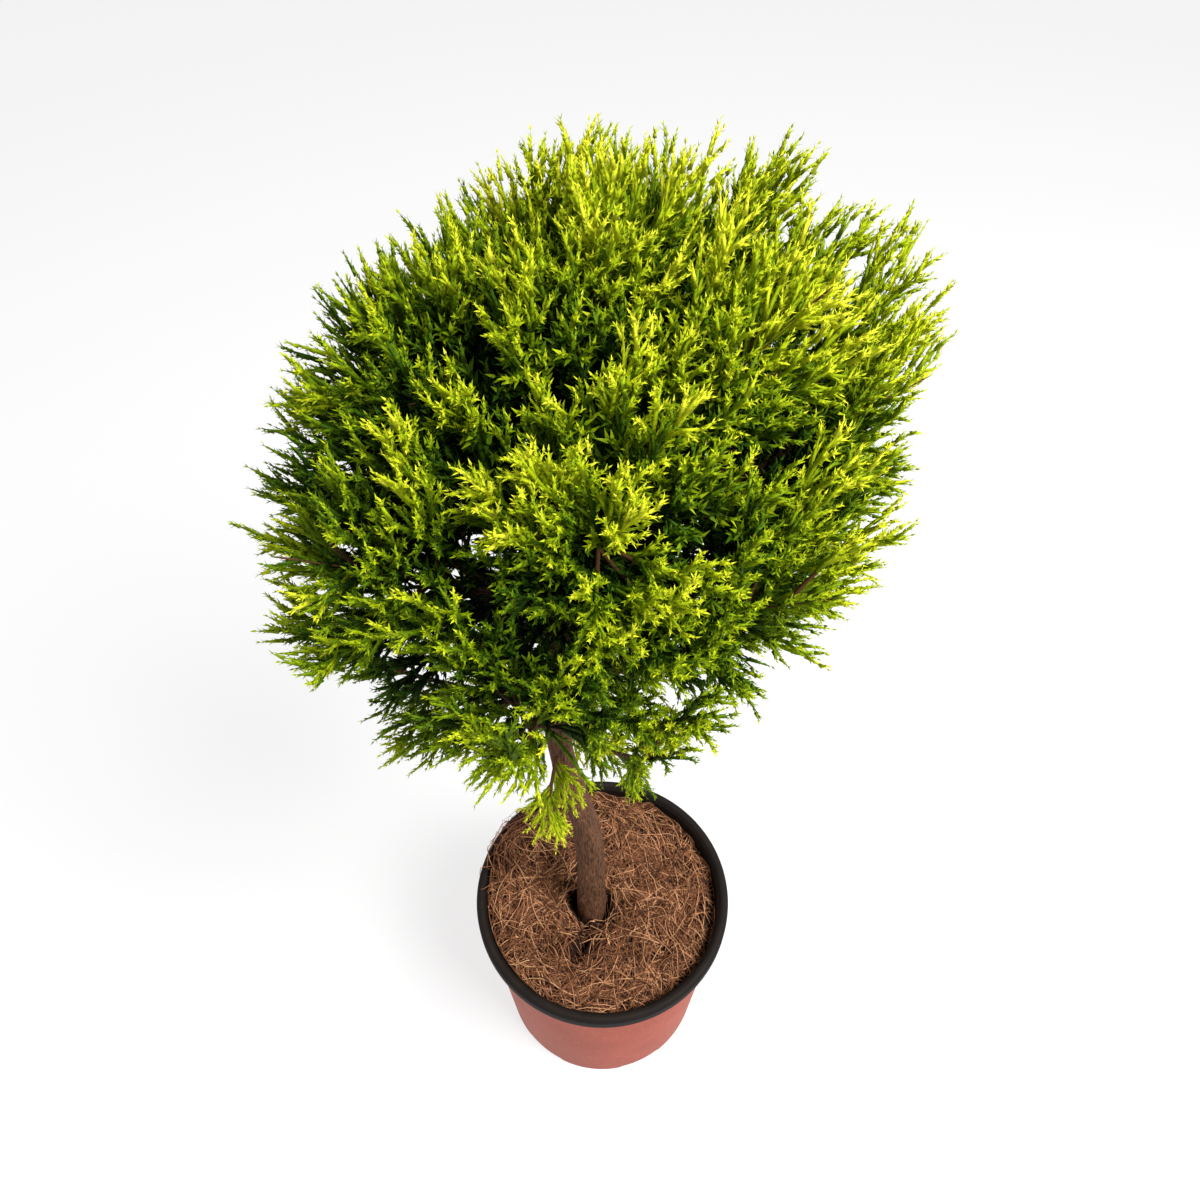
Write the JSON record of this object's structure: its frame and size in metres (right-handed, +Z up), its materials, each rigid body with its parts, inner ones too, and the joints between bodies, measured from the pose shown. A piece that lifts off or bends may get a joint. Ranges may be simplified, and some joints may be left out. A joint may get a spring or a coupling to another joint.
{
  "type": "potted lemon cypress standard",
  "caption": "Golden conifer grown as a lollipop standard: a ball of feathery shoots on a clear stem, mulched with coconut fibre, in a round two-tone nursery pot.",
  "frame": {"origin": "middle of the pot's flat underside", "axes": "+Z up along the pot's axis, -Y the front, +X the plant's right as seen from the front"},
  "size_m": [0.2795, 0.2785, 0.7219],
  "materials": {
    "pot_black": "black moulded plastic, satin, slightly scuffed on the lip",
    "pot_terracotta": "terracotta-coloured outer layer of the pot, satin",
    "potting_mix": "dark moist peat and bark mix",
    "coir": "tangled reddish-brown coconut fibre",
    "bark": "thin stringy brown bark",
    "foliage_gold": "awl-shaped golden-lime needles, satin",
    "foliage_green": "awl-shaped mid-green needles, satin"
  },
  "bodies": {
    "root": {"pot": "pot_black", "pot_skin": "pot_terracotta", "potting_mix": "potting_mix", "coir_disc": "coir", "trunk": "bark", "bough_01": "bark", "bough_02": "bark", "bough_03": "bark", "bough_04": "bark", "bough_05": "bark", "bough_06": "bark", "bough_07": "bark", "bough_08": "bark", "bough_09": "bark", "bough_10": "bark", "bough_11": "bark", "bough_12": "bark", "bough_13": "bark", "bough_14": "bark", "bough_15": "bark", "bough_16": "bark", "bough_17": "bark", "bough_18": "bark", "bough_19": "bark", "foliage_01": "foliage_green", "foliage_02": "foliage_green", "foliage_03": "foliage_green", "foliage_04": "foliage_green", "foliage_05": "foliage_green", "foliage_06": "foliage_green", "foliage_07": "foliage_green", "foliage_08": "foliage_gold", "foliage_09": "foliage_gold", "foliage_10": "foliage_gold", "foliage_11": "foliage_gold", "foliage_12": "foliage_gold", "foliage_13": "foliage_gold", "foliage_14": "foliage_gold", "foliage_15": "foliage_gold", "foliage_16": "foliage_gold", "foliage_17": "foliage_gold", "foliage_18": "foliage_gold", "foliage_19": "foliage_gold", "foliage_leader": "foliage_gold", "foliage_low_sprout": "foliage_green"}
  },
  "joints": []
}
